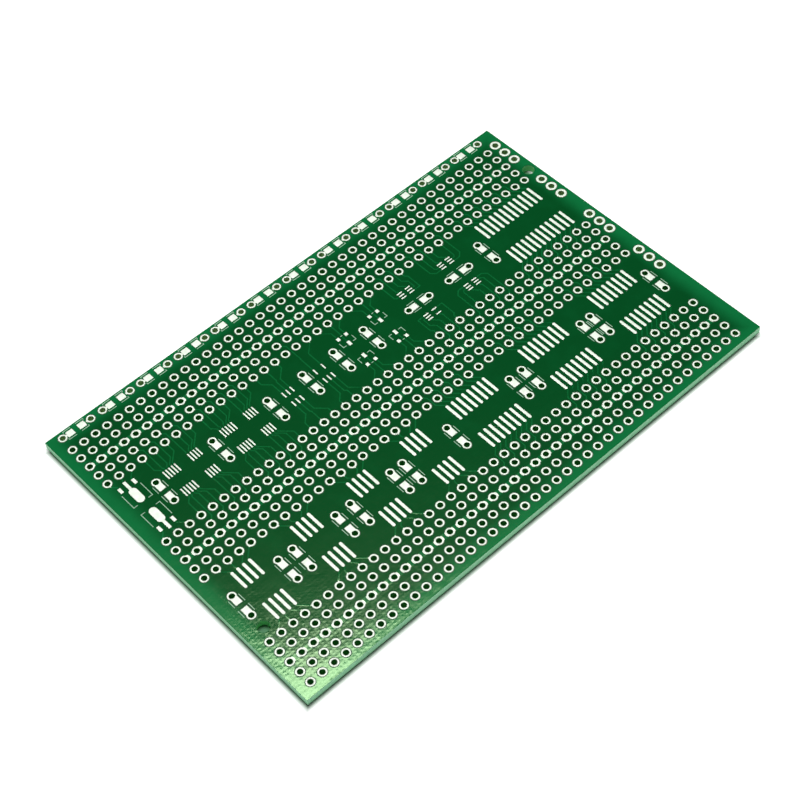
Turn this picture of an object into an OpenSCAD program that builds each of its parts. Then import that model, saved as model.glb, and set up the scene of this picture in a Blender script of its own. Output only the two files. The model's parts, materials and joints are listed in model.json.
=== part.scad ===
// Surface-mount adapter board: a green two-sided circuit board with three strips of plated holes
// and, between them, bands of tinned lands whose copper traces fan out to the nearest holes.
// Places along the board are given in columns of the hole strips, counted from the first column.

/* [Board] */
// Finished thickness, from one face of the solder mask to the other
board_t = 1.6; // [1.0:0.1:2.4]
// From the left edge to the first column of holes
left_margin = 2.6; // [2.2:0.1:6]
// From the last column of holes to the right edge
right_margin = 4.3; // [4.2:0.1:8]
// From the far edge to the first row of holes
top_margin = 4.65; // [4.6:0.05:8]
// From the last row of holes to the near edge
bottom_margin = 2.15; // [1.6:0.05:6]

/* [Layers] */
// Thickness of the solder mask on each face
mask_t = 0.05; // [0.04:0.005:0.08]
// Thickness of the etched copper under the mask
copper_t = 0.035; // [0.018:0.001:0.036]
// Height of the tinned lands above the mask
tin_proud = 0.02; // [0.005:0.005:0.05]
// Thickness of the plating in the holes
plating_t = 0.03; // [0.02:0.005:0.05]
// Gap between a hole's ring and the edge of its mask opening
ring_clear = 0.15; // [0.08:0.01:0.2]
// Gap between a land and the edge of its mask opening
land_clear = 0.07; // [0.04:0.01:0.1]
// Thickness of the printed legend
ink_t = 0.02; // [0.01:0.005:0.04]
// Width of the legend lines
ink_w = 0.14; // [0.12:0.01:0.24]
// Width of the copper traces
trace_w = 0.22; // [0.15:0.01:0.32]

/* [Hole strips] */
// Distance between neighbouring holes
pitch = 2.54; // [2.5:0.01:2.7]
// Finished diameter of the holes
hole_d = 1.1; // [0.7:0.05:1.2]
// Diameter of the tinned rings round the holes
ring_d = 1.65; // [1.5:0.05:1.85]
// Width of the bus that links the middle row of each strip
bus_w = 1.0; // [0.5:0.05:1.4]
// From the last row of the upper strip to the first row of the middle strip
upper_band = 16.5; // [16.4:0.05:20]
// From the last row of the middle strip to the first row of the lower strip
lower_band = 16.9; // [16.4:0.05:20]

/* [Terminal holes] */
// Finished diameter of the terminal holes
terminal_hole_d = 1.25; // [0.9:0.05:1.4]
// Diameter of their tinned rings
terminal_ring_d = 2.1; // [1.8:0.05:2.3]
// Distance between the holes of one group
terminal_pitch = 2.64; // [2.6:0.01:2.8]
// Distance between the groups
terminal_group_pitch = 12.8; // [10:0.1:14]
// From the right edge to the terminal holes
terminal_inset = 1.75; // [1.5:0.05:2]
// From the far edge to the first terminal hole
terminal_top = 4.15; // [3:0.05:5]

/* [Tooling holes] */
// Diameter of the two unplated tooling holes
tool_hole_d = 2.4; // [1.5:0.1:2.6]
// From the left edge to the left tooling hole
left_tool_x = 3.75; // [3.5:0.05:4]
// From the near edge to the left tooling hole
left_tool_y = 15.25; // [15:0.05:15.5]
// From the right edge to the right tooling hole
right_tool_x = 1.8; // [1.6:0.05:2]
// From the far edge to the right tooling hole
right_tool_y = 13.4; // [12.9:0.05:13.6]

/* [Chip lands] */
// Distance between the two wire holes of a chip's lands
chip_holes = 5.05; // [4.8:0.05:5.3]
// Width of a chip land
chip_land_w = 1.32; // [1:0.01:1.5]
// Gap between the two lands of a chip
chip_gap = 1.1; // [0.8:0.05:1.6]

/* [Edge row] */
// From the far edge to the row of lamp lands
edge_row_y = 1.4; // [1.3:0.05:1.5]
// From the middle of a lamp's lands to its left wire hole
edge_left_hole = 2.95; // [2.9:0.05:3.1]
// From the middle of a lamp's lands to its right wire hole
edge_right_hole = 3.25; // [3.1:0.05:3.3]
// Length and width of a lamp land
edge_land = [1.45, 1.3]; // [1:0.05:1.5]
// Distance between the centres of the two lands of a lamp
edge_lands = 2.5; // [2.4:0.05:2.6]
// Width of the neck between a lamp land and its ring
edge_neck_w = 0.5; // [0.3:0.05:0.8]

/* [Small-outline lands] */
// Distance between neighbouring lands
so_pitch = 1.27; // [1.2:0.01:1.3]
// Width of a land
so_land_w = 0.56; // [0.5:0.01:0.8]
// Length of a land
so_land_l = 4.1; // [3:0.1:4.6]
// Distance between the two rows of lands, centre to centre
so_rows = 8.25; // [7.8:0.05:8.6]
// The same distance on the widest package
so_wide_rows = 8.55; // [7.8:0.05:8.6]

/* [Fine-pitch lands] */
// Distance between neighbouring lands
fine_pitch = 0.635; // [0.5:0.005:0.65]
// Width of a land
fine_land_w = 0.26; // [0.2:0.01:0.36]
// Length of a land
fine_land_l = 1.95; // [1.5:0.05:2.2]
// Distance between the two rows of lands, centre to centre
fine_rows = 4.95; // [4.5:0.05:5.2]

/* [Transistor lands] */
// Distance between neighbouring leads of a small transistor
sot_pitch = 0.95; // [0.9:0.01:1]
// Size of a land for a five or six-lead package
sot_slim_land = [0.26, 1.3]; // [0.2:0.01:1.6]
// Distance between the two rows of a five or six-lead package
sot_slim_rows = 2.7; // [2.6:0.05:3]
// Size of the paired lands for a three-lead package
sot_pair_land = [0.63, 0.7]; // [0.5:0.01:1]
// Size of the single land for a three-lead package
sot_single_land = [0.63, 1.06]; // [0.5:0.01:1.4]
// From the band's middle to the paired lands
sot_pair_y = 4.0; // [3.8:0.05:4.2]
// From the band's middle to the single land
sot_single_y = 2.0; // [1.9:0.05:2.1]

/* [Tiny-package lands] */
// Distance between neighbouring lands
tiny_pitch = 0.65; // [0.6:0.01:0.7]
// Size of a land
tiny_land = [1.16, 0.25]; // [0.2:0.01:1.4]
// Distance between the two columns of lands, centre to centre
tiny_columns = 2.0; // [1.9:0.05:2.2]
// From the band's middle to the centre of the package
tiny_y = 3.6; // [3.4:0.05:3.8]

/* [Power transistor lands] */
// Distance between neighbouring leads
tab_pitch = 1.5; // [1.4:0.05:1.6]
// Width and length of the tab's land
tab_land = [1.58, 3.6]; // [1.2:0.02:4]
// Width and length of a lead's land
tab_lead_land = [0.6, 1.18]; // [0.5:0.02:1.4]
// From the band's middle to the near end of the tab's land
tab_y = 1.0; // [0.9:0.05:1.2]
// From the band's middle to the middle of the leads' lands
tab_lead_y = 5.45; // [5.3:0.05:5.6]
// Length of the middle lead's land, which meets the tab's land
tab_middle_l = 2.2; // [2:0.05:2.4]

/* [Legend] */
// From the middle of the lamp lands to the lines above and below them
edge_ink_y = 1.06; // [0.95:0.01:1.1]
// Length of the lines at the lamp lands
edge_ink_line = 1.6; // [1:0.05:1.8]
// Length of their feet
edge_ink_foot = 0.3; // [0.2:0.05:0.35]
// From the end of a lamp land to the feet
edge_ink_gap = 0.2; // [0.18:0.01:0.24]
// From a chip's middle to the middle of its lines, along the chip
chip_ink_x = 1.25; // [1.1:0.05:1.3]
// Length of the lines beside the chips
chip_ink_line = 1.7; // [1.2:0.05:1.8]
// From the side of a chip land to the lines
chip_ink_gap = 0.44; // [0.35:0.01:0.5]
// From the middle of a three-lead package to its brackets
sot3_ink_x = 1.5; // [1.4:0.05:1.6]
// From the middle of the single land to the brackets' lines
sot3_ink_drop = 0.1; // [0:0.05:0.3]
// Length of the brackets' lines
sot3_ink_line = 0.7; // [0.4:0.05:0.8]
// Length of the brackets' feet
sot3_ink_foot = 1.2; // [0.8:0.05:1.3]
// From the paired lands to the dash between them
sot3_dash_y = 0.25; // [0.1:0.05:0.35]
// Length of the dash
sot3_dash = 0.45; // [0.3:0.05:0.6]
// From the middle of the power transistor to its brackets
tab_ink_x = 2.03; // [1.8:0.01:2.1]
// Length of the brackets' lines
tab_ink_line = 0.85; // [0.5:0.05:0.9]
// Length of the brackets' feet
tab_ink_foot = 3.4; // [2.5:0.1:3.6]

/* [Hidden] */
COLUMNS = 41;
ROWS = 5;
BUS_ROW = 2;
TERMINAL_GROUPS = 4;
TERMINALS_PER_GROUP = 3;
EDGE_GROUPS = 12;
$fn = 48;

// Places along the board, in columns from the first column of holes
upper_chip_cols = [2.45, 7.4, 12.37, 15.62, 18.54, 21.44, 32.87];
level_chip_cols = [26, 30];
lower_chip_cols = [0.43, 4.39, 5.64, 9.42, 10.76, 14.4, 15.51, 19.71, 25.75, 26.94, 32.84, 33.84, 39.6];
edge_first_col = 1.26;
edge_second_col = 4.74;
edge_step_cols = 3.41;
so8_cols = [2.3, 7.45, 12.47, 17.37];
so8_first_holes = [1, 6, 11, 16];
so16_cols = [22.73, 29.77, 36.8];
so16_first_holes = [20.5, 27.5, 34.5];
so24_col = 36.78;
so24_first_hole = 33.5;
fine10_cols = [3.82, 8.83];
fine10_first_holes = [3, 8];
fine8_cols = [5.85, 10.85];
fine8_first_holes = [5.5, 10.5];
sot6_col = 13.92;
sot6_first_hole = 13;
sot5_col = 16.84;
sot5_near_hole = 16;
sot5_far_hole = 16.5;
sot3_cols = [19.94, 22.95];
sot3_middle_holes = [20, 23];
tiny_cols = [26, 30];
tab_col = 0.88;
tab_first_hole = 0;

// Straight run of a trace before it turns, for each kind of package
so_lead = 0.15;
fine_lead = 0.5;
sot6_lead = 2.6;
sot5_lead = 3.4;
sot3_lead = 1.6;
tab_lead = 0.4;
tiny_lead = 0.3;
// How far the traces of the tiny lands run out sideways, and how far along before they turn back in
tiny_out = [0, 0.6, 1.4];
tiny_turn = [tiny_lead, 1.7, 3.3];

// Outer sizes and heights
board_l = left_margin + (COLUMNS - 1) * pitch + right_margin;
strip_w = (ROWS - 1) * pitch;
board_w = top_margin + 3 * strip_w + upper_band + lower_band + bottom_margin;
laminate_z = mask_t;
laminate_t = board_t - 2 * mask_t;
copper_z = board_t - mask_t;
land_t = mask_t + tin_proud;
drill_d = hole_d + 2 * plating_t;
terminal_drill_d = terminal_hole_d + 2 * plating_t;

// Places across the board, from its middle
UPPER = 0;
MIDDLE = 1;
LOWER = 2;
strip_y = [
    board_w / 2 - top_margin,
    board_w / 2 - top_margin - strip_w - upper_band,
    board_w / 2 - top_margin - 2 * strip_w - upper_band - lower_band
];
upper_band_y = strip_y[MIDDLE] + upper_band / 2;
lower_band_y = strip_y[LOWER] + lower_band / 2;
edge_y = board_w / 2 - edge_row_y;
function col_x(c) = left_margin + c * pitch - board_l / 2;
function row_y(strip, row) = strip_y[strip] - row * pitch;
function edge_col(i) = i == 0 ? edge_first_col : edge_second_col + (i - 1) * edge_step_cols;

// Centres of the holes
strip_holes = [
    for (strip = [UPPER:LOWER])
        [for (row = [0:ROWS - 1]) for (c = [0:COLUMNS - 1]) [col_x(c), row_y(strip, row)]]
];
terminal_holes = [
    for (g = [0:TERMINAL_GROUPS - 1]) for (i = [0:TERMINALS_PER_GROUP - 1])
        [board_l / 2 - terminal_inset,
         board_w / 2 - terminal_top - g * terminal_group_pitch - i * terminal_pitch]
];
tool_holes = [
    [left_tool_x - board_l / 2, left_tool_y - board_w / 2],
    [board_l / 2 - right_tool_x, board_w / 2 - right_tool_y]
];

// Centre and turn of each chip's pair of lands
upper_chips = [for (c = upper_chip_cols) [[col_x(c), upper_band_y], 90]];
level_chips = [for (c = level_chip_cols) [[col_x(c), upper_band_y], 0]];
lower_chips = [for (c = lower_chip_cols) [[col_x(c), lower_band_y], 90]];
all_chips = concat(upper_chips, level_chips, lower_chips);
edge_lamps = [for (i = [0:EDGE_GROUPS - 1]) [col_x(edge_col(i)), edge_y]];
edge_hole_x = [-edge_left_hole, edge_right_hole];

// Every plated wire hole of the chips and lamps
wire_holes = concat(
    [for (c = all_chips) for (end = [-1, 1]) c[0] + end * chip_holes / 2 * [cos(c[1]), sin(c[1])]],
    [for (p = edge_lamps) for (x = edge_hole_x) p + [x, 0]]
);

// A trace that leaves a land's end, turns through 45 degrees and ends in a hole of the near row.
// side is 1 towards the far edge and -1 towards the near edge.
function straight_run(from, hole, lead, side) =
    let (across = hole.x - from.x)
    let (slant = min(abs(across), abs(hole.y - from.y) - lead))
    [from,
     from + [0, side * lead],
     from + [sign(across) * slant, side * (lead + slant)],
     hole];

// A trace that slips between two holes of the near row and ends in the next row, one half pitch back
function slipping_run(from, gap_x, hole, lead, side) =
    let (across = gap_x - from.x)
    [from,
     from + [0, side * lead],
     [gap_x, from.y + side * (lead + abs(across))],
     [gap_x, hole.y - side * pitch / 2],
     hole];

// The trace from a land's end to a place counted in columns: a whole number is a hole of the near
// row, and a half is the gap that leads to the next row
function fan_out(from, c, strip, lead, side) =
    let (near = side > 0 ? ROWS - 1 : 0)
    c == floor(c)
        ? straight_run(from, [col_x(c), row_y(strip, near)], lead, side)
        : slipping_run(from, col_x(c), [col_x(floor(c)), row_y(strip, near - side)], lead, side);

// A land is its centre, its size, whether its ends are round, and the path of its trace
function row_of_lands(x, y, size, step, count, is_round, first_hole, hole_step, strip, lead, side) = [
    for (i = [0:count - 1])
        let (centre = [x + (i - (count - 1) / 2) * step, y])
        [centre, size, is_round,
         concat([centre], fan_out(centre + [0, side * size.y / 2], first_hole + i * hole_step,
                                  strip, lead, side))]
];

// Two facing rows of lands, the upper fanning out to one strip and the lower to the next
function two_rows(x, y, rows, size, step, count, is_round, first_hole, hole_step, strip, lead) = concat(
    row_of_lands(x, y + rows / 2, size, step, count, is_round, first_hole, hole_step, strip, lead, 1),
    row_of_lands(x, y - rows / 2, size, step, count, is_round, first_hole, hole_step, strip + 1, lead, -1)
);

function so8(i) = two_rows(
    col_x(so8_cols[i]), lower_band_y, so_rows, [so_land_w, so_land_l], so_pitch, 8 / 2, true,
    so8_first_holes[i], 1, MIDDLE, so_lead);
function so16(i) = two_rows(
    col_x(so16_cols[i]), lower_band_y, so_rows, [so_land_w, so_land_l], so_pitch, 16 / 2, true,
    so16_first_holes[i], 0.5, MIDDLE, so_lead);
function so24() = two_rows(
    col_x(so24_col), upper_band_y, so_wide_rows, [so_land_w, so_land_l], so_pitch, 24 / 2, true,
    so24_first_hole, 0.5, UPPER, so_lead);
function fine10(i) = two_rows(
    col_x(fine10_cols[i]), upper_band_y, fine_rows, [fine_land_w, fine_land_l], fine_pitch, 10 / 2, false,
    fine10_first_holes[i], 0.5, UPPER, fine_lead);
function fine8(i) = two_rows(
    col_x(fine8_cols[i]), upper_band_y, fine_rows, [fine_land_w, fine_land_l], fine_pitch, 8 / 2, false,
    fine8_first_holes[i], 0.5, UPPER, fine_lead);
function sot6() = two_rows(
    col_x(sot6_col), upper_band_y, sot_slim_rows, sot_slim_land, sot_pitch, 6 / 2, false,
    sot6_first_hole, 1, UPPER, sot6_lead);

// Three leads towards the near edge, and two towards the far edge
function sot5() = let (x = col_x(sot5_col)) concat(
    row_of_lands(x, upper_band_y - sot_slim_rows / 2, sot_slim_land, sot_pitch, 3, false,
        sot5_near_hole, 1, MIDDLE, sot5_lead, -1),
    row_of_lands(x, upper_band_y + sot_slim_rows / 2, sot_slim_land, 2 * sot_pitch, 2, false,
        sot5_far_hole, 1.5, UPPER, sot5_lead, 1)
);

// A pair of lands, and a single land whose trace runs out between them
function sot3(i, strip, side) =
    let (x = col_x(sot3_cols[i]), middle = sot3_middle_holes[i])
    concat(
        row_of_lands(x, upper_band_y + side * sot_pair_y, sot_pair_land, 2 * sot_pitch, 2, false,
            middle - 1, 2, strip, sot3_lead, side),
        row_of_lands(x, upper_band_y + side * sot_single_y, sot_single_land, sot_pitch, 1, false,
            middle, 1, strip, sot3_lead, side)
    );

// One column of tiny lands, from the outer one, next to the strip, to the inner one. The outer
// land's trace leaves its long side. The others leave sideways, and then turn towards the strip.
function tiny_column(c, places, strip, side, hand) = [
    for (i = [0:len(places) - 1]) if (places[i] != NO_LAND)
        let (centre = [col_x(c) + hand * tiny_columns / 2,
                       upper_band_y + side * (tiny_y + (1 - i) * tiny_pitch)])
        let (out_x = centre.x + (i == 0 ? 0 : hand * (tiny_land.x / 2 + tiny_out[i])))
        let (turns_out = i > 0 && hand * (col_x(places[i]) - out_x) > 0)
        let (bend = [out_x, centre.y + (i == 0 ? side * tiny_land.y / 2 : 0)])
        [centre, tiny_land, false,
         places[i] == NO_TRACE ? [] : concat([centre],
             fan_out(bend, places[i], strip, turns_out ? 0 : tiny_turn[i], side))]
];

// Both columns of a tiny package, each with its traces' places in columns
function tiny(c, left, right, strip, side) =
    concat(tiny_column(c, left, strip, side, -1), tiny_column(c, right, strip, side, 1));

// The tab's long land runs into the land of the middle lead, between the two outer leads
function tab_package(strip, side) =
    let (x = col_x(tab_col))
    concat(
        row_of_lands(x, upper_band_y + side * tab_lead_y, tab_lead_land, 2 * tab_pitch, 2, false,
            tab_first_hole, 2, strip, tab_lead, side),
        row_of_lands(x, upper_band_y + side * tab_lead_y, [tab_lead_land.x, tab_middle_l], tab_pitch, 1,
            false, tab_first_hole + 1, 1, strip, tab_lead, side),
        [[[x, upper_band_y + side * (tab_y + tab_land.y / 2)], tab_land, true, []]]
    );

// Places of the tiny packages' traces, in columns, from the outer land to the inner one
NO_LAND = -2;
NO_TRACE = -1;
tiny_packages = [
    tiny(tiny_cols[0], [25.5, 25, NO_TRACE], [26, 26.5, 27], UPPER, 1),
    tiny(tiny_cols[0], [26, 25.5, 25], [26.5, NO_LAND, 27], MIDDLE, -1),
    tiny(tiny_cols[1], [29.5, 29, 28.5], [30, 31, 31.5], UPPER, 1),
    tiny(tiny_cols[1], [30, 29, 28.5], [30.5, 31, 31.5], MIDDLE, -1)
];
tab_packages = [tab_package(UPPER, 1), tab_package(MIDDLE, -1)];
sot3_packages = [
    for (i = [0:len(sot3_cols) - 1]) for (side = [1, -1]) sot3(i, side > 0 ? UPPER : MIDDLE, side)
];
so8_packages = [for (i = [0:len(so8_cols) - 1]) so8(i)];
so16_packages = [for (i = [0:len(so16_cols) - 1]) so16(i)];
fine10_packages = [for (i = [0:len(fine10_cols) - 1]) fine10(i)];
fine8_packages = [for (i = [0:len(fine8_cols) - 1]) fine8(i)];
all_packages = concat(
    so8_packages, so16_packages, [so24()], fine10_packages, fine8_packages,
    [sot6()], [sot5()], sot3_packages, tiny_packages, tab_packages);

function numbered(name, list) = [for (i = [1:len(list)]) str(name, "_", i)];

// Outline of a path of constant width, with mitred corners
SAME_POINT = 0.001;
function distinct(path) = [
    for (i = [0:len(path) - 1]) if (i == 0 || norm(path[i] - path[i - 1]) > SAME_POINT) path[i]
];
function heading(path, i) = (path[i + 1] - path[i]) / norm(path[i + 1] - path[i]);
function mitre(path, i) =
    let (last = len(path) - 1)
    let (a = heading(path, max(i - 1, 0)), b = heading(path, min(i, last - 1)))
    let (m = a + b)
    [-m.y, m.x] * 2 / (m * m);
function ribbon(path, w) = concat(
    [for (i = [0:len(path) - 1]) path[i] + mitre(path, i) * w / 2],
    [for (i = [len(path) - 1:-1:0]) path[i] - mitre(path, i) * w / 2]
);

module trace_2d(path) {
    if (len(path) > 0) polygon(ribbon(distinct(path), trace_w));
}

module land_2d(size, is_round, grow) {
    w = size.x + 2 * grow;
    l = size.y + 2 * grow;
    if (is_round) {
        square([w, l - w], center = true);
        for (end = [-1, 1]) translate([0, end * (l - w) / 2]) circle(d = w);
    } else {
        square([w, l], center = true);
    }
}

// A tinned land and its trace, which ends against the ring of its hole
module land(l) {
    translate([0, 0, copper_z]) {
        translate(l[0]) linear_extrude(land_t) land_2d(l[1], l[2], 0);
        if (len(l[3]) > 0) {
            hole = l[3][len(l[3]) - 1];
            linear_extrude(copper_t) difference() {
                trace_2d(l[3]);
                translate(hole) circle(d = ring_d);
            }
        }
    }
}

module lands(package) {
    for (l = package) color("gainsboro") land(l);
}

// A plated hole: a barrel through the laminate, with a ring on each face
module eyelet(bore, ring) {
    drill = bore + 2 * plating_t;
    rotate_extrude() polygon([
        [bore / 2, 0], [ring / 2, 0], [ring / 2, mask_t], [drill / 2, mask_t],
        [drill / 2, copper_z], [ring / 2, copper_z],
        [ring / 2, copper_z + land_t], [bore / 2, copper_z + land_t]
    ]);
}

module strip_eyelets(strip) {
    for (p = strip_holes[strip]) color("gainsboro") translate(p) eyelet(hole_d, ring_d);
}

// A bar that links one row of rings
module bus_2d(strip) {
    translate([col_x((COLUMNS - 1) / 2), row_y(strip, BUS_ROW)])
        square([(COLUMNS - 1) * pitch, bus_w], center = true);
}

module bus(strip) {
    color("darkgreen") translate([0, 0, copper_z]) linear_extrude(copper_t) difference() {
        bus_2d(strip);
        for (c = [0:COLUMNS - 1]) translate([col_x(c), row_y(strip, BUS_ROW)]) circle(d = ring_d);
    }
}

// The bar of a chip land, from its wire hole towards the chip's middle
module chip_bar_2d(grow) {
    reach = (chip_holes - chip_gap) / 2;
    translate([-grow, -chip_land_w / 2 - grow]) square([reach + 2 * grow, chip_land_w + 2 * grow]);
}

// Both lands of a chip along X, each a plated wire hole with a bar that runs in from it
module chip_pair() {
    for (turn = [0, 180]) rotate(turn) translate([-chip_holes / 2, 0]) {
        eyelet(hole_d, ring_d);
        translate([0, 0, copper_z]) linear_extrude(land_t) difference() {
            chip_bar_2d(0);
            circle(d = hole_d);
        }
    }
}

// Outline of both bars, widened for the mask
module chip_bars_2d(grow) {
    for (turn = [0, 180]) rotate(turn) translate([-chip_holes / 2, 0]) chip_bar_2d(grow);
}

module chip_lands(chips) {
    for (c = chips) color("gainsboro") translate(c[0]) rotate(c[1]) chip_pair();
}

// The copper neck between a lamp land and the ring of its wire hole
module edge_neck_2d(hole_x) {
    land_x = sign(hole_x) * edge_lands / 2;
    translate([min(hole_x, land_x), -edge_neck_w / 2]) square([abs(hole_x - land_x), edge_neck_w]);
}

module edge_lamp() {
    translate([0, 0, copper_z]) linear_extrude(land_t) edge_lamp_lands_2d(0);
    for (hole_x = edge_hole_x) {
        translate([hole_x, 0]) eyelet(hole_d, ring_d);
        translate([0, 0, copper_z]) linear_extrude(copper_t) difference() {
            edge_neck_2d(hole_x);
            translate([hole_x, 0]) circle(d = hole_d);
        }
    }
}

module edge_lamp_lands_2d(grow) {
    for (side = [-1, 1]) translate([side * edge_lands / 2, 0])
        square(edge_land + 2 * grow * [1, 1], center = true);
}

module edge_row_lands() {
    for (p = edge_lamps) color("gainsboro") translate(p) edge_lamp();
}

module terminal_eyelets() {
    for (p = terminal_holes) color("gainsboro") translate(p) eyelet(terminal_hole_d, terminal_ring_d);
}

// All plated holes, drawn at the strip size and the terminal size, and the bare tooling holes
module holes_2d(strip_size, terminal_size) {
    small = [for (holes = concat(strip_holes, [wire_holes])) for (p = holes) [p, strip_size]];
    large = [for (p = terminal_holes) [p, terminal_size]];
    bare = [for (p = tool_holes) [p, tool_hole_d]];
    for (hole = concat(small, large, bare)) translate(hole[0]) circle(d = hole[1]);
}

module board_2d() {
    square([board_l, board_w], center = true);
}

module laminate() {
    color("darkseagreen") translate([0, 0, laminate_z]) linear_extrude(laminate_t) difference() {
        board_2d();
        holes_2d(drill_d, terminal_drill_d);
    }
}

// Openings of the mask on both faces, over the rings and the tooling holes
module ring_openings_2d() {
    holes_2d(ring_d + 2 * ring_clear, terminal_ring_d + 2 * ring_clear);
}

// The top mask also has openings over the lands, and channels in its underside over the copper
module solder_mask_top() {
    all_lands = [for (package = all_packages) for (l = package) l];
    color("green") translate([0, 0, copper_z]) difference() {
        linear_extrude(mask_t) difference() {
            board_2d();
            ring_openings_2d();
            for (c = all_chips) translate(c[0]) rotate(c[1]) chip_bars_2d(ring_clear);
            for (p = edge_lamps) translate(p) edge_lamp_lands_2d(land_clear);
            for (l = all_lands) translate(l[0]) land_2d(l[1], l[2], land_clear);
        }
        for (strip = [UPPER:LOWER]) linear_extrude(copper_t) bus_2d(strip);
        for (p = edge_lamps) translate(p) linear_extrude(copper_t) for (x = edge_hole_x) edge_neck_2d(x);
        for (l = all_lands) linear_extrude(copper_t) trace_2d(l[3]);
    }
}

module solder_mask_bottom() {
    color("green") linear_extrude(mask_t) difference() {
        board_2d();
        ring_openings_2d();
    }
}

// An L of legend ink: a line along X from the corner, and a foot along Y
module ink_corner(line, foot) {
    translate([0, 0, board_t]) linear_extrude(ink_t) {
        translate([min(0, line), -ink_w / 2]) square([abs(line), ink_w]);
        translate([-ink_w / 2, min(0, foot)]) square([ink_w, abs(foot)]);
        square(ink_w, center = true);
    }
}

module ink_line(length) {
    translate([0, 0, board_t]) linear_extrude(ink_t) square([length, ink_w], center = true);
}

// Brackets round the outer corners of a lamp's two lands
module edge_row_legend() {
    corner = [edge_lands / 2 + edge_land.x / 2 + edge_ink_gap, edge_ink_y];
    for (p = edge_lamps) for (mx = [0, 1]) for (my = [0, 1])
        color("honeydew") translate(p) mirror([mx, 0]) mirror([0, my])
            translate(corner) ink_corner(-edge_ink_line, -edge_ink_foot);
}

// Lines beside the lands of a chip, two on each side
module chip_legend() {
    for (c = all_chips) for (x = [-1, 1]) for (y = [-1, 1])
        color("honeydew") translate(c[0]) rotate(c[1])
            translate([x * chip_ink_x, y * (chip_land_w / 2 + chip_ink_gap)]) ink_line(chip_ink_line);
}

// Brackets round the single land, and a dash between the paired lands
module sot3_legend() {
    for (i = [0:len(sot3_cols) - 1]) for (side = [0, 1])
        translate([col_x(sot3_cols[i]), upper_band_y]) mirror([0, side]) color("honeydew") {
            for (hand = [0, 1]) mirror([hand, 0])
                translate([sot3_ink_x, sot_single_y - sot3_ink_drop])
                    ink_corner(-sot3_ink_line, sot3_ink_foot);
            translate([0, sot_pair_y + sot3_dash_y]) ink_line(sot3_dash);
        }
}

// Long brackets beside the tab
module tab_legend() {
    for (side = [0, 1]) for (hand = [0, 1])
        color("honeydew") translate([col_x(tab_col), upper_band_y]) mirror([0, side]) mirror([hand, 0])
            translate([tab_ink_x, tab_y]) ink_corner(-tab_ink_line, tab_ink_foot);
}

module one_of(name, packages) {
    for (i = [1:len(packages)])
        lands(packages[i - 1]);
}

laminate();
solder_mask_top();
solder_mask_bottom();
strip_eyelets(UPPER);  // upper_strip_eyelets
strip_eyelets(MIDDLE);  // middle_strip_eyelets
strip_eyelets(LOWER);  // lower_strip_eyelets
bus(UPPER);  // upper_bus
bus(MIDDLE);  // middle_bus
bus(LOWER);  // lower_bus
terminal_eyelets();
edge_row_lands();
chip_lands(upper_chips);  // upper_chip_lands
chip_lands(level_chips);  // level_chip_lands
chip_lands(lower_chips);  // lower_chip_lands
lands(so24());  // so24_lands
lands(sot6());  // sot6_lands
lands(sot5());  // sot5_lands
one_of("so8_lands", so8_packages);
one_of("so16_lands", so16_packages);
one_of("fine10_lands", fine10_packages);
one_of("fine8_lands", fine8_packages);
one_of("sot3_lands", sot3_packages);
one_of("tiny_lands", tiny_packages);
one_of("tab_lands", tab_packages);
edge_row_legend();
chip_legend();
sot3_legend();
tab_legend();
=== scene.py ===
# %% [markdown]
# # A green surface-mount adapter board
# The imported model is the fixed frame: every hole, land, trace and legend line is already in its
# place. This lesson gives those pieces the finish of a real board. The tinned copper gets the
# soft crown that hot solder leaves, the green mask gets a relief where it runs over the traces,
# and each material is built from what the real one is.

# %% Load the frame and keep its box
import json
import math

import bpy
import numpy as np
from mathutils import Matrix, Vector


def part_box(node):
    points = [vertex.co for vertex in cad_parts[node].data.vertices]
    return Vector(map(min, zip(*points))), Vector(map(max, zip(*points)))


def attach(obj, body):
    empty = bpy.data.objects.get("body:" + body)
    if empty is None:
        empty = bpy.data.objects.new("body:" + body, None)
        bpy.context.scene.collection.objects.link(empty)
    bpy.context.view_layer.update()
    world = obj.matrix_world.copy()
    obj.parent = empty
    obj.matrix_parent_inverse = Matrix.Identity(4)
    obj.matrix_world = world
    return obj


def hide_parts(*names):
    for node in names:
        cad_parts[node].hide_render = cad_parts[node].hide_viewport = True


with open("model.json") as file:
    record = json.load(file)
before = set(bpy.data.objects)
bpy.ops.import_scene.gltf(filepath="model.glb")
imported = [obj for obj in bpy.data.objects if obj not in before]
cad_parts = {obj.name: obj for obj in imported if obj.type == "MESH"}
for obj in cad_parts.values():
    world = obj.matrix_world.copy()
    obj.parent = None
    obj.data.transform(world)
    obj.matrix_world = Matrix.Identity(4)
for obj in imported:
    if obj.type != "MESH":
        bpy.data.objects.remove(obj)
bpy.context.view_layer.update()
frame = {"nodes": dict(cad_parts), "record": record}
MM = 0.001

# %% [markdown]
# ## Heights of the layers
# A board is a stack: laminate, etched copper, mask, tin and ink. The heights could be typed in, but
# the frame knows each of them, so they are read from it and stay right if the model changes.

# %% Read the layer heights
copper_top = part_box("upper_bus")[1].z
mask_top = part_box("solder_mask_top")[1].z
tin_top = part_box("upper_strip_eyelets")[1].z
board_low, board_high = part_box("laminate")
half_length = board_high.x
half_width = board_high.y
print("copper, mask and tin in mm:", [round(z / MM, 3) for z in (copper_top, mask_top, tin_top)])

# %% [markdown]
# ## Reading a node as arrays
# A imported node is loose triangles, so equal corners are merged first. The flat faces at one height
# are then the top of the copper or of the tin, and the edges that only one of those faces has are
# its rim. On the rim, the two neighbouring edges give the direction that points straight inwards.
# Blender's own inset could find it too, but arrays do all the lands of the board at once.

# %% Merge, pick and trace flat faces
GRAIN = 1e-7   # corners closer than this, in metres, are one corner
LEVEL = 1e-6   # faces within this height of a level, in metres, lie on it


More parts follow.
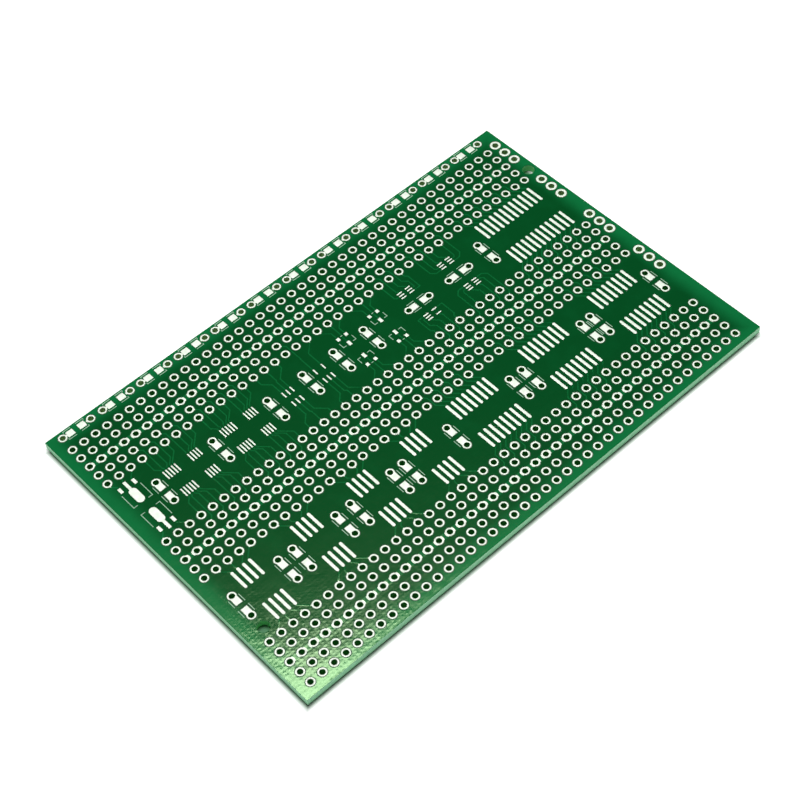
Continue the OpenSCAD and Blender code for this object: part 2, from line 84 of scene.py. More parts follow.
def merged(node):
    """Corners and triangles of a node, with corners that share a place joined."""
    mesh = frame["nodes"][node].data
    mesh.calc_loop_triangles()
    places = np.empty(len(mesh.vertices) * 3, np.float32)
    mesh.vertices.foreach_get("co", places)
    triangles = np.empty(len(mesh.loop_triangles) * 3, np.int32)
    mesh.loop_triangles.foreach_get("vertices", triangles)
    cells = np.round(places.reshape(-1, 3).astype(float) / GRAIN).astype(np.int64)
    corners, same = np.unique(cells, axis=0, return_inverse=True)
    return corners * GRAIN, same.ravel()[triangles].reshape(-1, 3)


def on_level(corners, triangles, height):
    """Which triangles lie flat at a height."""
    return np.all(np.abs(corners[triangles][:, :, 2] - height) < LEVEL, axis=1)


def rim_of(triangles, count):
    """Directed edges that have no twin running the other way."""
    edges = np.concatenate([triangles[:, [0, 1]], triangles[:, [1, 2]], triangles[:, [2, 0]]])
    forward = edges[:, 0].astype(np.int64) * count + edges[:, 1]
    backward = edges[:, 1].astype(np.int64) * count + edges[:, 0]
    return edges[~np.isin(forward, backward)]


def inward(corners, rim):
    """For each corner, the step in the plane that moves both of its rim edges in by one unit:
    the sum of the two edge normals over one plus their dot product."""
    along = corners[rim[:, 1], :2] - corners[rim[:, 0], :2]
    along /= np.linalg.norm(along, axis=1, keepdims=True)
    normal = np.stack([-along[:, 1], along[:, 0]], axis=1)
    after, before = np.zeros((2, len(corners), 2))
    after[rim[:, 0]] = normal
    before[rim[:, 1]] = normal
    return (after + before) / (1 + np.sum(after * before, axis=1, keepdims=True))


bus_corners, bus_triangles = merged("upper_bus")
bus_flat = bus_triangles[on_level(bus_corners, bus_triangles, copper_top)]
print("upper bus: corners", len(bus_corners), "rim edges on its top",
      len(rim_of(bus_flat, len(bus_corners))))

# %% [markdown]
# ## A crown over a flat face
# Hot-air levelling leaves tin thickest in the middle of a land and thin at its edge. A dome on
# each land could be modelled by hand, but there are hundreds in many shapes. So the rim of any flat
# face is stepped inwards and upwards a few times, and the face itself is moved up to close the
# last step.

# %% Build crowned surfaces
def crowned(corners, flat, steps):
    """New corners and faces over the flat triangles. Each step is an inset and a rise: the rim is
    moved in and up by them, walls join one step to the next, and the last step is covered."""
    rim = rim_of(flat, len(corners))
    shift = inward(corners, rim)
    ids = np.unique(flat)
    place = np.zeros(len(corners), np.int64)
    place[ids] = np.arange(len(ids))
    layers, faces, low = [corners], [], rim
    for k, (inset, rise) in enumerate(steps):
        layer = corners[ids] + np.column_stack([inset * shift[ids], np.full(len(ids), rise)])
        high = place[rim] + len(corners) + k * len(ids)
        faces += np.column_stack([low, high[:, 1], high[:, 0]]).tolist()
        layers.append(layer)
        low = high
    faces += (place[flat] + len(corners) + (len(steps) - 1) * len(ids)).tolist()
    return np.concatenate(layers), faces


trial_step = [(0.01 * MM, 0.01 * MM)]
print("one step on the upper bus: faces", len(crowned(bus_corners, bus_flat, trial_step)[1]))

# %% [markdown]
# ## Putting a piece on the board
# A new mesh goes straight to its place, with its object at the origin, as the frame's own nodes
# have it. Smooth shading would round off the walls of a land as well, so edges that turn more than
# a set angle are marked sharp.

# %% Make a piece that rides on the board
SHARP_DEGREES = 40


def new_piece(name, corners, faces, materials):
    """A mesh object at the origin that is smooth but for its sharp edges, riding on the board."""
    mesh = bpy.data.meshes.new(name)
    mesh.from_pydata(corners.tolist(), [], faces)
    mesh.validate()
    mesh.shade_smooth()
    mesh.set_sharp_from_angle(angle=math.radians(SHARP_DEGREES))
    for material in materials:
        mesh.materials.append(material)
    piece = bpy.data.objects.new(name, mesh)
    bpy.context.scene.collection.objects.link(piece)
    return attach(piece, "root")


print("edges are sharp above", SHARP_DEGREES, "degrees")

# %% [markdown]
# ## Colours and nodes
# Colours are written as the hex values a screen shows, and one function turns them into the linear
# light that a shader mixes. Nodes could be wired one by one, but that takes many lines, so one more
# function adds any node, with its settings and its links.

# %% Small helpers for materials
def linear(hex_colour):
    """An sRGB hex colour as linear red, green, blue and alpha."""
    srgb = np.array([int(hex_colour[i:i + 2], 16) for i in (1, 3, 5)]) / 255
    light = np.where(srgb <= 0.04045, srgb / 12.92, ((srgb + 0.055) / 1.055) ** 2.4)
    return (*light.tolist(), 1.0)


def add(tree, kind, inputs=(), **settings):
    """Adds a node. inputs pairs a socket's name or number with a value or with another socket."""
    node = tree.nodes.new(kind)
    for key, value in settings.items():
        setattr(node, key, value)
    for key, value in dict(inputs).items():
        if isinstance(value, bpy.types.NodeSocket):
            tree.links.new(value, node.inputs[key])
        else:
            node.inputs[key].default_value = value
    return node


def new_material(name):
    """A material with its node tree, its surface shader and its object coordinates."""
    material = bpy.data.materials.new(name)
    material.use_nodes = True
    tree = material.node_tree
    coordinates = add(tree, "ShaderNodeTexCoord").outputs["Object"]
    return material, tree, tree.nodes["Principled BSDF"], coordinates


def dress(node, material):
    """Gives a node that keeps its own shape its finish."""
    mesh = frame["nodes"][node].data
    mesh.materials.clear()
    mesh.materials.append(material)


print("a middle grey in linear light:", round(linear("#808080")[0], 3))

# %% [markdown]
# ## Real sizes in patterns
# A pattern looks right only at its real scale, so two functions turn millimetres into the scale of
# a noise and of a wave. A board also changes towards its cut edges. The distance to them could be
# painted on, but it follows from the coordinates, so nodes work it out.

# %% Measures for patterns
def edge_distance(tree, place):
    """How far a point lies inside the board's outline: the least of half the length less the size
    of x, and half the width less the size of y. It is negative outside."""
    xyz = add(tree, "ShaderNodeSeparateXYZ", {0: place})
    inside = []
    for axis, half in (("X", half_length), ("Y", half_width)):
        size = add(tree, "ShaderNodeMath", {0: xyz.outputs[axis]}, operation="ABSOLUTE")
        inside.append(add(tree, "ShaderNodeMath", {0: half, 1: size.outputs[0]},
                          operation="SUBTRACT"))
    return add(tree, "ShaderNodeMath", {0: inside[0].outputs[0], 1: inside[1].outputs[0]},
               operation="MINIMUM").outputs[0]


def per_mm(size_mm):
    """The scale of a noise whose blotches are about this many millimetres across."""
    return 1 / (size_mm * MM)


def bands_per_mm(size_mm):
    """The scale of a wave texture whose bands repeat after this many millimetres."""
    return math.pi / 10 / (size_mm * MM)


print("scale of a noise and of a wave of 1 mm:", per_mm(1), round(bands_per_mm(1), 1))

# %% [markdown]
# ## Solder mask
# The mask is a green epoxy ink, printed wet over the board and cured to a gloss. It is see-through,
# so it is darker over the laminate and lighter over copper. A painted glow makes it lighter near
# the cut edges, where light gets into the laminate from the side. The glass cloth below it prints
# through as a faint weave, which only shows where a lamp is mirrored in the gloss. Real
# transparency would need the laminate's whole inside, so the depth is put into the colour instead.

# %% Solder mask material
# The pale border is a painted glow: colour that stands for light entering at the cut edge.
PAINTED_GLOW_REACH = 5.0               # how far the light reaches in from the cut edge, in mm
MOTTLE_SIZE = 4.0             # size of the uneven patches in the ink, in mm
MOTTLE_TONE = (-0.08, 0.1)    # how far those patches go to the dark and to the pale colour
WEAVE_HEIGHT = 0.002          # how far the yarns lift the mask, in mm
WEAVE_X, WEAVE_Y = 0.9, 0.7   # spacing of the glass yarns, in mm, drawn a little coarse to show
WEAVE_WANDER = 1.5            # how much the yarns stray from a straight line
SAG_SIZE = 1.5                # size of the hollows between the rings, in mm
SAG = 6.0                     # how many times deeper than the weave those hollows are


def solder_mask(name, core, edge):
    """Green gloss with a painted edge glow, a mottled tone and the print of the weave."""
    material, tree, shader, place = new_material(name)
    # Painted glow: near the cut edges the colour moves to the edge colour.
    painted_glow = add(tree, "ShaderNodeMapRange", {
        "Value": edge_distance(tree, place), "From Min": 0.0, "From Max": PAINTED_GLOW_REACH * MM,
        "To Min": 1.0, "To Max": 0.0}, interpolation_type="SMOOTHERSTEP")
    mottle = add(tree, "ShaderNodeTexNoise", {
        "Vector": place, "Scale": per_mm(MOTTLE_SIZE), "Detail": 3.0})
    tone = add(tree, "ShaderNodeMapRange", {
        "Value": mottle.outputs[0], "From Min": 0.3, "From Max": 0.7,
        "To Min": MOTTLE_TONE[0], "To Max": MOTTLE_TONE[1]})
    amount = add(tree, "ShaderNodeMath", {0: painted_glow.outputs[0], 1: tone.outputs[0]},
                 operation="ADD", use_clamp=True)
    colour = add(tree, "ShaderNodeMix", {
        "Factor": amount.outputs[0], 6: linear(core), 7: linear(edge)}, data_type="RGBA")
    warp, weft = [add(tree, "ShaderNodeTexWave", {
        "Vector": place, "Scale": bands_per_mm(spacing), "Distortion": WEAVE_WANDER,
        "Detail": 1.0}, bands_direction=axis) for axis, spacing in (("X", WEAVE_X), ("Y", WEAVE_Y))]
    weave = add(tree, "ShaderNodeMath", {0: warp.outputs["Fac"], 1: weft.outputs["Fac"]},
                operation="MULTIPLY")
    sag = add(tree, "ShaderNodeTexNoise", {
        "Vector": place, "Scale": per_mm(SAG_SIZE), "Detail": 1.0})
    height = add(tree, "ShaderNodeMath", {0: sag.outputs[0], 1: SAG, 2: weave.outputs[0]},
                 operation="MULTIPLY_ADD")
    bump = add(tree, "ShaderNodeBump", {
        "Height": height.outputs[0], "Distance": WEAVE_HEIGHT * MM, "Strength": 1.0})
    tree.links.new(colour.outputs[2], shader.inputs["Base Color"])
    tree.links.new(bump.outputs[0], shader.inputs["Normal"])
    # Cured epoxy: a clear mirror of the studio, a little green from the ink below it.
    shader.inputs["Roughness"].default_value = 0.1
    shader.inputs["IOR"].default_value = 1.57
    shader.inputs["Specular Tint"].default_value = linear("#d6ffc2")
    return material


# The second colour of each mask is its painted edge glow.
mask_ink = solder_mask("cured_solder_mask", "#034f22", "#0e763e")
mask_over_copper = solder_mask("solder_mask_over_copper", "#0c6a35", "#17864c")
print("materials:", mask_ink.name, mask_over_copper.name)

# %% [markdown]
# ## Light in the barrels
# Down the barrels of the plated holes the tin lies in shade, and what little light gets in is
# green. That shade and that green light are painted into the barrels' colour, and a painted glow
# makes them brightest along the two far edges, where most of the light comes through the laminate.
# The barrels could be pieces of their own, but depth and place alone tell them from the rings, so
# two functions give those to one finish.

# %% Depth and painted glow of the barrels
BARREL_TOP = board_high.z - 0.05 * MM   # below this height the barrels are stained all over
RING_FOOT = copper_top - 0.01 * MM      # above this height the tin is bright
# The barrels' painted glow starts this far inside the far edges and is at most this strong.
PAINTED_GLOW_START = 1.0                        # from this far inside the far edges the glow fades, in mm
PAINTED_GLOW_MOST = 0.9


def barrel_depth(tree, place):
    """Zero on the rings and lands of both faces, one inside the board."""
    height = add(tree, "ShaderNodeSeparateXYZ", {0: place}).outputs["Z"]
    above = add(tree, "ShaderNodeMapRange", {
        "Value": height, "From Min": BARREL_TOP, "From Max": RING_FOOT,
        "To Min": 1.0, "To Max": 0.0})
    below = add(tree, "ShaderNodeMapRange", {
        "Value": height, "From Min": board_low.z / 2, "From Max": board_low.z * 2})
    return add(tree, "ShaderNodeMath", {0: above.outputs[0], 1: below.outputs[0]},
               operation="MINIMUM").outputs[0]


def painted_far_edge_glow(tree, place):
    """Painted glow that falls off smoothly with the lesser distance to the two far edges."""
    apart = add(tree, "ShaderNodeVectorMath", {
        0: (half_length, half_width, 0), 1: place}, operation="SUBTRACT").outputs[0]
    xyz = add(tree, "ShaderNodeSeparateXYZ", {0: apart})
    nearest = add(tree, "ShaderNodeMath", {0: xyz.outputs["X"], 1: xyz.outputs["Y"]},
                  operation="MINIMUM")
    return add(tree, "ShaderNodeMapRange", {
        "Value": nearest.outputs[0], "From Min": PAINTED_GLOW_START * MM, "From Max": PAINTED_GLOW_REACH * MM,
        "To Min": PAINTED_GLOW_MOST, "To Max": 0.0}, interpolation_type="SMOOTHSTEP").outputs[0]


print("tin is bright above, in mm:", round(RING_FOOT / MM, 3))

# %% [markdown]
# ## Tin
# The lands and rings are copper that was dipped in molten tin and blown level with hot air. That
# gives a bright metal with a soft sheen and slow waves in its surface. A mirror finish would be
# simpler, but real levelled tin spreads the light, so the roughness is high and clouded.

# %% Tin material
CLOUD_SIZE = 0.8         # size of the dull patches, in mm
SHEEN = (0.62, 0.78)     # roughness of the bright and of the dull patches
WAVE_SIZE = 0.5          # size of the slow waves, in mm
WAVE_HEIGHT = 0.01       # how high they stand, in mm


def tin():
    """Bright metal; down the barrels, dull plating painted with shade and green light."""
    material, tree, shader, place = new_material("levelled_tin")
    depth = barrel_depth(tree, place)
    cloud = add(tree, "ShaderNodeTexNoise", {
        "Vector": place, "Scale": per_mm(CLOUD_SIZE), "Detail": 3.0})
    bright = add(tree, "ShaderNodeMix", {
        "Factor": cloud.outputs[0], 6: linear("#ecf2e9"), 7: linear("#dde6d9")}, data_type="RGBA")
    # Down the barrels the colour is painted shade and painted green light, paler with the glow.
    painted_green_light = add(tree, "ShaderNodeMix", {
        "Factor": cloud.outputs[0], 6: linear("#2c8434"), 7: linear("#58c264")}, data_type="RGBA")
    painted_barrel_colour = add(tree, "ShaderNodeMix", {
        "Factor": painted_far_edge_glow(tree, place), 6: painted_green_light.outputs[2], 7: linear("#c4dcaa")},
        data_type="RGBA")
    colour = add(tree, "ShaderNodeMix", {
        "Factor": depth, 6: bright.outputs[2], 7: painted_barrel_colour.outputs[2]}, data_type="RGBA")
    metal = add(tree, "ShaderNodeMath", {0: 1.0, 1: depth}, operation="SUBTRACT")
    sheen = add(tree, "ShaderNodeMapRange", {
        "Value": cloud.outputs[0], "To Min": SHEEN[0], "To Max": SHEEN[1]})
    wave = add(tree, "ShaderNodeTexNoise", {
        "Vector": place, "Scale": per_mm(WAVE_SIZE), "Detail": 1.0})
    bump = add(tree, "ShaderNodeBump", {
        "Height": wave.outputs[0], "Distance": WAVE_HEIGHT * MM, "Strength": 0.6})
    tree.links.new(colour.outputs[2], shader.inputs["Base Color"])
    tree.links.new(metal.outputs[0], shader.inputs["Metallic"])
    tree.links.new(sheen.outputs[0], shader.inputs["Roughness"])
    tree.links.new(bump.outputs[0], shader.inputs["Normal"])
    return material


levelled_tin = tin()
print("material:", levelled_tin.name)

# %% [markdown]
# ## Finding the rings
# A plated hole is a barrel with a ring on each face, and the frame has both. The middles of the
# holes could be listed again from the drawing, but they are all in the frame: the top of each ring
# is one island of flat faces, and the middle of the island is the hole.

# %% Find the rings
def islands(corners, flat):
    """Label of each corner, the same for all corners that flat triangles join: every triangle
    takes its lowest label until none changes."""
    labels = np.arange(len(corners))
    while True:
        lowest = labels[flat].min(axis=1)
        if np.all(labels[flat] == lowest[:, None]):
            return labels
        np.minimum.at(labels, flat.ravel(), np.repeat(lowest, 3))


def find_rings(node):
    """Centres of a node's rings, and their inner and outer radius. A centre is the middle of an
    island's box, and the radii are the least and the greatest distance of its corners."""
    corners, triangles = merged(node)
    flat = triangles[on_level(corners, triangles, tin_top)]
    labels = islands(corners, flat)
    ids = np.unique(flat)
    _, group = np.unique(labels[ids], return_inverse=True)
    low = np.full((group.max() + 1, 2), np.inf)
    high = -low
    np.minimum.at(low, group, corners[ids, :2])
    np.maximum.at(high, group, corners[ids, :2])
    centres = (low + high) / 2
    reach = np.linalg.norm(corners[ids, :2] - centres[group], axis=1)
    return centres, reach.min(), reach.max()


STRIPS = ["upper_strip_eyelets", "middle_strip_eyelets", "lower_strip_eyelets"]
rings = {node: find_rings(node) for node in STRIPS + ["terminal_eyelets"]}
for node, (centres, bore, ring) in rings.items():
    print(node, "rings:", len(centres), "inner and outer diameter in mm:",
          round(2 * bore / MM, 3), round(2 * ring / MM, 3))

# %% [markdown]
# ## Crowns on the rings
# Molten tin pulls itself round, so on the top ring it stands as half an ellipse between the ring's
# edge and the hole. There are hundreds of rings, and a finely turned one each would be heavy, so
# one profile of a few points is turned about every hole at once, and smooth shading does the rest.

# %% Turn the crowns
CROWN_TURNS = 12
CROWN_BANDS = 3
CROWN_HEIGHT = 0.015 * MM   # how far the crown stands above the flat top of the ring
CROWN_FOOT = 0.004 * MM     # how deep its foot is set into the ring


def crown_profile(bore, ring):
    """Radius and height along the crown, from its outer to its inner foot: half an ellipse, radius
    by the cosine and height by the sine of one angle. The inner foot is moved out by the cosine of
    half a turn step, so that the straight edges there don't reach into the hole."""
    inner = bore / math.cos(math.pi / CROWN_TURNS)
    turn = np.linspace(0, np.pi, CROWN_BANDS + 1)
    radius = (ring + inner) / 2 + (ring - inner) / 2 * np.cos(turn)
    height = tin_top - CROWN_FOOT + (CROWN_HEIGHT + CROWN_FOOT) * np.sin(turn)
    return np.column_stack([radius, height])


def ring_crowns(node):
    """The profile turned about each hole: corner (hole, turn, step) lies at the hole's centre plus
    the step's radius in the direction of the turn, at the step's height. The last step joins the
    first again, under the flat of the ring."""
    centres, bore, ring = rings[node]
    section = crown_profile(bore, ring)
    angle = np.arange(CROWN_TURNS) * 2 * np.pi / CROWN_TURNS
    direction = np.stack([np.cos(angle), np.sin(angle)], axis=1)
    corners = np.empty((len(centres), CROWN_TURNS, len(section), 3))
    corners[..., :2] = centres[:, None, None] + section[:, 0, None] * direction[None, :, None]
    corners[..., 2] = section[:, 1]
    index = np.arange(corners[..., 0].size).reshape(corners.shape[:3])
    onward, upward = np.roll(index, -1, axis=1), np.roll(index, -1, axis=2)
    both = np.roll(onward, -1, axis=2)
    faces = np.stack([index, onward, both, upward], axis=-1).reshape(-1, 4)
    piece = new_piece(node.replace("eyelets", "crowns"), corners.reshape(-1, 3), faces.tolist(),
                      [levelled_tin])
    dress(node, levelled_tin)
    return piece


for node in rings:
    piece = ring_crowns(node)
    print(piece.name, "faces:", len(piece.data.polygons))

# %% [markdown]
# ## Tinned lands
# Each tinned land keeps its own walls, and only its flat top is swapped for a crown. A bevel would
# round the feet of the walls as well. A round or slotted end is stepped in the same way as a
# straight side, because every corner knows its own inward direction.

# %% Crown every tinned node
TIN_CROWN = [(0.015 * MM, 0.006 * MM), (0.04 * MM, 0.011 * MM), (0.08 * MM, 0.015 * MM)]
tin_nodes = [row["node"] for row in frame["record"]["subparts"]
             if row["material_slot"] == "tin" and "eyelets" not in row["node"]]


def tinned(node):
    """The node with a crown on each flat top."""
    corners, triangles = merged(node)
    top = on_level(corners, triangles, tin_top)
    corners, crown_faces = crowned(corners, triangles[top], TIN_CROWN)
    piece = new_piece(node + "_tinned", corners, triangles[~top].tolist() + crown_faces,
                      [levelled_tin])
    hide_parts(node)
    return piece


tinned_pieces = [tinned(node) for node in tin_nodes]
print("tinned pieces:", len(tinned_pieces),
      "faces:", sum(len(p.data.polygons) for p in tinned_pieces))

# %% [markdown]
# ## Relief over the copper
# A mask that is printed over a trace stands up by part of the copper's thickness. A bump map could
# fake it, but the tops of the traces and buses are in the frame, so the relief is their outline,
# lifted to the face of the mask and given a low crown. Near a ring it stops at the edge of the
# mask's opening.

# %% Raise the mask over traces and buses
RING_CLEAR = 0.15 * MM   # from a ring to the edge of the mask's opening
RING_TOUCH = 0.02 * MM   # copper that ends this close to a ring's edge ends at the ring
RELIEF = [(0.03 * MM, 0.002 * MM), (0.08 * MM, 0.003 * MM)]
strip_centres = np.concatenate([rings[node][0] for node in STRIPS])
ring_radius = rings[STRIPS[-1]][2]


def nearest_hole(places):
    """For each place, the middle of the nearest hole of the strips."""
    apart = np.linalg.norm(places[:, None] - strip_centres[None], axis=2)
    return strip_centres[apart.argmin(axis=1)]


def relief(name, nodes):
    """A low crown on the mask over the copper of these nodes."""
    corner_lists, face_lists, count = [], [], 0
    for node in nodes:
        corners, triangles = merged(node)
        flat = triangles[on_level(corners, triangles, copper_top)]
        if not len(flat):
            continue
        ids, inverse = np.unique(flat, return_inverse=True)
        outline = corners[ids]
        hole = nearest_hole(outline[:, :2])
        out = outline[:, :2] - hole
        reach = np.linalg.norm(out, axis=1, keepdims=True)
        opening = hole + out / reach * (ring_radius + RING_CLEAR)
        at_ring = np.abs(reach - ring_radius) < RING_TOUCH
        outline[:, :2] = np.where(at_ring, opening, outline[:, :2])
        outline[:, 2] = mask_top
        corners, faces = crowned(outline, inverse.reshape(-1, 3), RELIEF)
        corner_lists.append(corners)
        face_lists += [[i + count for i in face] for face in faces]
        count += len(corners)
    piece = new_piece(name, np.concatenate(corner_lists), face_lists, [mask_over_copper])
    return piece


trace_nodes = [n for n in tin_nodes if "lands" in n and "chip" not in n and "edge" not in n]
trace_relief = relief("trace_relief", trace_nodes)
bus_relief = relief("bus_relief", ["upper_bus", "middle_bus", "lower_bus"])
print("relief faces:", len(trace_relief.data.polygons), len(bus_relief.data.polygons))

# %% [markdown]
# ## Laminate
# The core is woven glass in epoxy, sawn to size and drilled, so its sides and bare holes are pale
# and show thin layers. The bare holes are paler still, painted with light that passes through the
# laminate. Where the mask leaves a gap round a ring, its face is seen from above. It is darker than
# the cut sides, and painted shade in the narrow gap makes it darker still. Three materials could
# share the one solid, but its faces are told apart by their place, so one material does it.

# %% Laminate material
LAYER = 0.2               # thickness of one layer of glass cloth, in mm
SAW_SIZE = 0.4            # size of the saw marks, in mm
SAW_DEPTH = 0.02          # how deep they go, in mm
SIDE_REACH = (0.05, 0.3)  # the pale side gives way between these distances inside it, in mm
FACE_SKIN = (0.02, 0.01)  # the dark face starts between these depths, in mm


def glass_epoxy():
    """Pale sawn sides with layers and saw marks, bare hole walls paler with painted light, and a
    dark face, darker still with painted shade in the ring gaps."""
    material, tree, shader, place = new_material("sawn_glass_epoxy")
    layers = add(tree, "ShaderNodeTexWave", {
        "Vector": place, "Scale": bands_per_mm(LAYER), "Distortion": 1.0, "Detail": 1.0},
        bands_direction="Z")
    saw = add(tree, "ShaderNodeTexNoise", {
        "Vector": place, "Scale": per_mm(SAW_SIZE), "Detail": 4.0})
    grain = add(tree, "ShaderNodeMath", {0: layers.outputs["Fac"], 1: saw.outputs[0]},
                operation="MULTIPLY")
    side = add(tree, "ShaderNodeMix", {
        "Factor": grain.outputs[0], 6: linear("#98e8b2"), 7: linear("#c8fad4")}, data_type="RGBA")
    depth = add(tree, "ShaderNodeMapRange", {
        "Value": edge_distance(tree, place),
        "From Min": SIDE_REACH[0] * MM, "From Max": SIDE_REACH[1] * MM})
    height = add(tree, "ShaderNodeSeparateXYZ", {0: place}).outputs["Z"]
    face = add(tree, "ShaderNodeMapRange", {
        "Value": height, "From Min": board_high.z - FACE_SKIN[0] * MM,
        "From Max": board_high.z - FACE_SKIN[1] * MM})
    # Bare hole walls: pale laminate, paler with painted light. Face: dark, with painted shade.
    inside = add(tree, "ShaderNodeMix", {
        "Factor": face.outputs[0], 6: linear("#a6f2b4"), 7: linear("#1c4f2c")}, data_type="RGBA")
    colour = add(tree, "ShaderNodeMix", {
        "Factor": depth.outputs[0], 6: side.outputs[2], 7: inside.outputs[2]}, data_type="RGBA")
    bump = add(tree, "ShaderNodeBump", {
        "Height": grain.outputs[0], "Distance": SAW_DEPTH * MM, "Strength": 0.6})
    tree.links.new(colour.outputs[2], shader.inputs["Base Color"])
    tree.links.new(bump.outputs[0], shader.inputs["Normal"])
    # Cut glass fibres: dull, with no mirror in them.
    shader.inputs["Roughness"].default_value = 0.6
    return material


laminate_core = glass_epoxy()
print("material:", laminate_core.name)

# %% [markdown]
# ## Legend
# The legend is a thin mint-white ink that was pressed through a screen. It lets a little of the
# green through. One flat colour would look like a sticker, so a fine speckle thins it here and
# there.

# %% Legend material, and a finish for every node that keeps its shape
SPECKLE_SIZE = 0.25   # size of the thin spots in the ink, in mm


def legend_ink():
    """Thin mint-white ink that lets a little green through."""
    material, tree, shader, place = new_material("screened_legend_ink")
    speckle = add(tree, "ShaderNodeTexNoise", {
        "Vector": place, "Scale": per_mm(SPECKLE_SIZE), "Detail": 3.0})
    colour = add(tree, "ShaderNodeMix", {
        "Factor": speckle.outputs[0], 6: linear("#b6d6bc"), 7: linear("#7fb492")},
        data_type="RGBA")
    tree.links.new(colour.outputs[2], shader.inputs["Base Color"])
    # Dried ink: matt, so it stays readable where the mask beside it mirrors a lamp.
    shader.inputs["Roughness"].default_value = 0.6
    return material


finishes = {"laminate": laminate_core, "mask": mask_ink, "copper": levelled_tin,
            "ink": legend_ink()}
for row in frame["record"]["subparts"]:
    if row["material_slot"] in finishes:
        dress(row["node"], finishes[row["material_slot"]])
print("finishes:", sorted(finishes))

# %% [markdown]
# ## Camera
# The photograph looks down on a corner from about 52 degrees, through a long lens, with the board a
# little turned in the frame. A camera could be set by eye, but here its place, the point it aims at
# and its roll come from matching the grid of holes to a plane.

# %% Camera
CAMERA_PLACE = Vector((-131.1, -159.8, 269.9)) * MM
CAMERA_AIM = Vector((-3.26, -1.74, 1.6)) * MM
CAMERA_ROLL = math.radians(-4.57)
FOCAL_PIXELS, FRAME_PIXELS = 1899.3, 800

camera = bpy.data.objects.new("camera", bpy.data.cameras.new("camera"))
bpy.context.scene.collection.objects.link(camera)
camera.data.sensor_width = 36.0
camera.data.lens = camera.data.sensor_width * FOCAL_PIXELS / FRAME_PIXELS
camera.data.clip_start, camera.data.clip_end = 0.01, 10.0
look = (CAMERA_AIM - CAMERA_PLACE).to_track_quat("-Z", "Y").to_matrix().to_4x4()
roll = Matrix.Rotation(CAMERA_ROLL, 4, "Z")
camera.matrix_world = Matrix.Translation(CAMERA_PLACE) @ look @ roll
bpy.context.scene.camera = camera
print("lens in mm:", round(camera.data.lens, 2))

# %% [markdown]
# ## White sheet
# The board lies on a white sheet. A narrow painted shadow runs along its two near sides, painted a
# little green for light that has passed the laminate. One lamp alone would leave the rest of the
# sheet grey, so beyond the shadow the sheet is lifted towards white, but only for the rays that
# show a background.

# %% Floor
FLOOR_HALF = 3.0     # half the side of the sheet, in metres
FLOOR_GAP = 0.02     # air between the sheet and the board, in mm
PAINTED_SHADOW_SHIFT = 0.7   # how far the shadow lies towards the near sides, in mm
PAINTED_SHADOW_SOFT = 0.35   # how far it fades beyond that, in mm
PAPER_LIFT = 0.3     # light added where the sheet lies beyond the shadow
NEAR_SHEET = 50.0    # up to here, in mm, no more light than that is added
FAR_SHEET = 600.0    # from here on, in mm, the sheet is all white, as the background is


def background_rays(tree):
    """One for the rays that show a background: from the camera, mirrored or passed through."""
    path = add(tree, "ShaderNodeLightPath")
    mirrored = add(tree, "ShaderNodeMath", {
        0: path.outputs["Is Camera Ray"], 1: path.outputs["Is Glossy Ray"]}, operation="MAXIMUM")
    return add(tree, "ShaderNodeMath", {
        0: mirrored.outputs[0], 1: path.outputs["Is Transmission Ray"]},
        operation="MAXIMUM").outputs[0]


def white_sheet():
    """White paper that is seen lifted towards white, with a painted shadow on it. The painted
    shadow is the board's outline, shifted towards the near sides, in a dark green."""
    material, tree, shader, place = new_material("white_sheet")
    shifted = add(tree, "ShaderNodeVectorMath", {
        0: place, 1: (PAINTED_SHADOW_SHIFT * MM, PAINTED_SHADOW_SHIFT * MM, 0)}, operation="ADD").outputs[0]
    inside = edge_distance(tree, shifted)
    # Painted shadow: inside the shifted outline the sheet turns a dark green.
    under = add(tree, "ShaderNodeMapRange", {
        "Value": inside, "From Min": -PAINTED_SHADOW_SOFT * MM, "From Max": PAINTED_SHADOW_SHIFT * MM})
    colour = add(tree, "ShaderNodeMix", {
        "Factor": under.outputs[0], 6: linear("#f6f6f6"), 7: linear("#5c8a68")}, data_type="RGBA")
    tree.links.new(colour.outputs[2], shader.inputs["Base Color"])
    shader.inputs["Roughness"].default_value = 0.9
    shader.inputs["Specular IOR Level"].default_value = 0.0
    away = add(tree, "ShaderNodeMapRange", {
        "Value": inside, "From Min": PAINTED_SHADOW_SHIFT * MM, "From Max": -PAINTED_SHADOW_SOFT * MM,
        "To Max": PAPER_LIFT})
    far = add(tree, "ShaderNodeMapRange", {
        "Value": inside, "From Min": -NEAR_SHEET * MM, "From Max": -FAR_SHEET * MM,
        "To Max": 1 - PAPER_LIFT})
    white = add(tree, "ShaderNodeMath", {0: away.outputs[0], 1: far.outputs[0]}, operation="ADD")
    lift = add(tree, "ShaderNodeMath", {0: background_rays(tree), 1: white.outputs[0]},
               operation="MULTIPLY")
    shader.inputs["Emission Color"].default_value = (1, 1, 1, 1)
    tree.links.new(lift.outputs[0], shader.inputs["Emission Strength"])
    return material


mesh = bpy.data.meshes.new("floor")
corners = np.array([(-1, -1, 0), (1, -1, 0), (1, 1, 0), (-1, 1, 0)]) * FLOOR_HALF
corners[:, 2] = -FLOOR_GAP * MM
mesh.from_pydata(corners.tolist(), [], [(0, 1, 2, 3)])
mesh.materials.append(white_sheet())
floor = bpy.data.objects.new("floor", mesh)
bpy.context.scene.collection.objects.link(floor)
print("sheet across in m:", 2 * FLOOR_HALF)

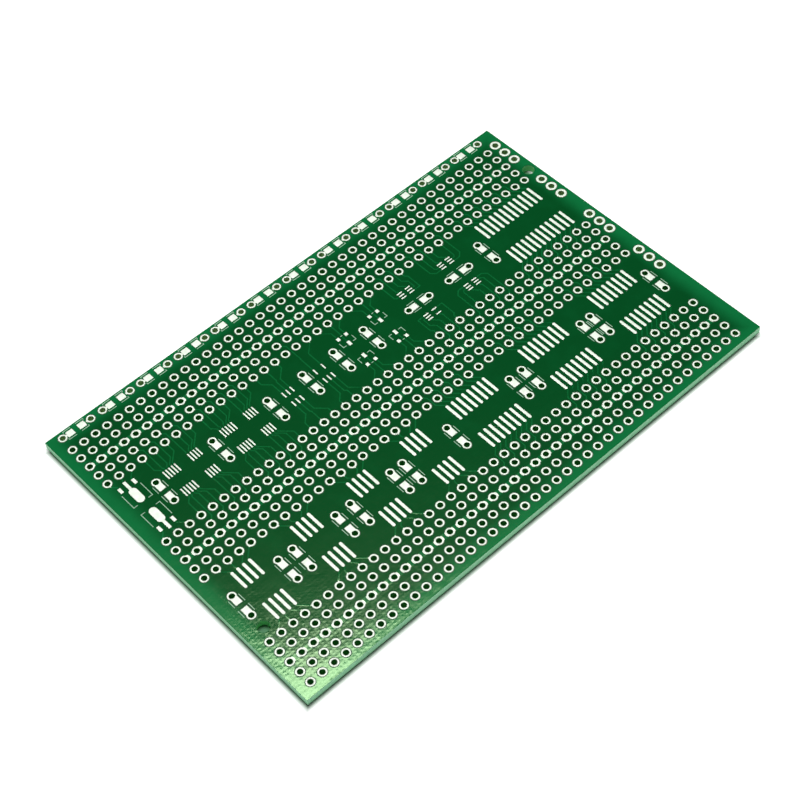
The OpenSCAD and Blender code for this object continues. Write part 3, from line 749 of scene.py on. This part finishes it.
# %% [markdown]
# ## Softbox
# One softbox hangs a little behind the board. The gloss at the near corner just catches its rim,
# and that gives the photograph's one highlight. Several lamps would light the board as well, but
# each would be mirrored somewhere in the gloss.

# %% Light
SOFTBOX_PLACE = Vector((110, 175, 773)) * MM
SOFTBOX_SIDE = 330 * MM
SOFTBOX_WATTS = 6.0

light = bpy.data.lights.new("softbox", "AREA")
light.size = SOFTBOX_SIDE
light.energy = SOFTBOX_WATTS
softbox = bpy.data.objects.new("softbox", light)
softbox.location = SOFTBOX_PLACE
softbox.rotation_euler = (-SOFTBOX_PLACE).to_track_quat("-Z", "Y").to_euler()
bpy.context.scene.collection.objects.link(softbox)
print("softbox to board in mm:", round(SOFTBOX_PLACE.length / MM))

# %% [markdown]
# ## Studio walls
# Round the board stand white walls, under a dark ceiling. An even white world would be mirrored in
# the whole gloss and turn it pale, so the light falls off with height, and the board stays deep
# green. To the camera itself the background is white throughout.

# %% Background
WALL_TOP, CEILING_EDGE = math.radians(6), math.radians(20)
WALL_LIGHT, CEILING_LIGHT = 1.0, 0.02

world = bpy.data.worlds.new("studio")
world.use_nodes = True
bpy.context.scene.world = world
sky = world.node_tree
backdrop = sky.nodes["Background"]
backdrop.inputs["Color"].default_value = (1, 1, 1, 1)
path = add(sky, "ShaderNodeLightPath")
direction = add(sky, "ShaderNodeTexCoord").outputs["Generated"]
height = add(sky, "ShaderNodeSeparateXYZ", {0: direction}).outputs["Z"]
wall = add(sky, "ShaderNodeMapRange", {
    "Value": height, "From Min": math.sin(WALL_TOP), "From Max": math.sin(CEILING_EDGE),
    "To Min": WALL_LIGHT, "To Max": CEILING_LIGHT}, interpolation_type="SMOOTHSTEP")
strength = add(sky, "ShaderNodeMath", {0: wall.outputs[0], 1: path.outputs["Is Camera Ray"]},
               operation="MAXIMUM")
sky.links.new(strength.outputs[0], backdrop.inputs["Strength"])
bpy.context.scene.view_settings.view_transform = "Standard"
print("view transform:", bpy.context.scene.view_settings.view_transform)
